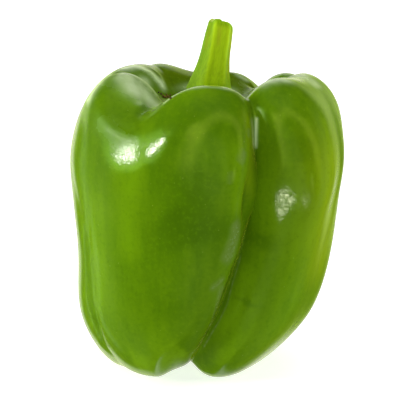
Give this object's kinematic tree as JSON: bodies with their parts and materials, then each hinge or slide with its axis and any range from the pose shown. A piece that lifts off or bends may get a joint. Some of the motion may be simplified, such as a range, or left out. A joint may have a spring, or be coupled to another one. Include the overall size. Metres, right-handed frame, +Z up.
{
  "type": "bell pepper",
  "caption": "Whole green bell pepper standing upright on its lobes: blocky ribbed pod with a deep front groove, and a cut stalk rising from its sunken calyx.",
  "frame": {"origin": "middle of the bounding box's underside, on the surface that the pepper stands on", "axes": "+Z up along the stalk, -Y out of the front with its deep groove, +X to the right seen from the front"},
  "size_m": [0.0903, 0.0933, 0.1156],
  "materials": {
    "pod_skin": "glossy waxy green skin with a fine orange-peel surface",
    "stalk": "satin yellow-green stalk with fibrous ribs and a cut end"
  },
  "bodies": {
    "root": {"pod": "pod_skin", "stalk": "stalk"}
  },
  "joints": []
}
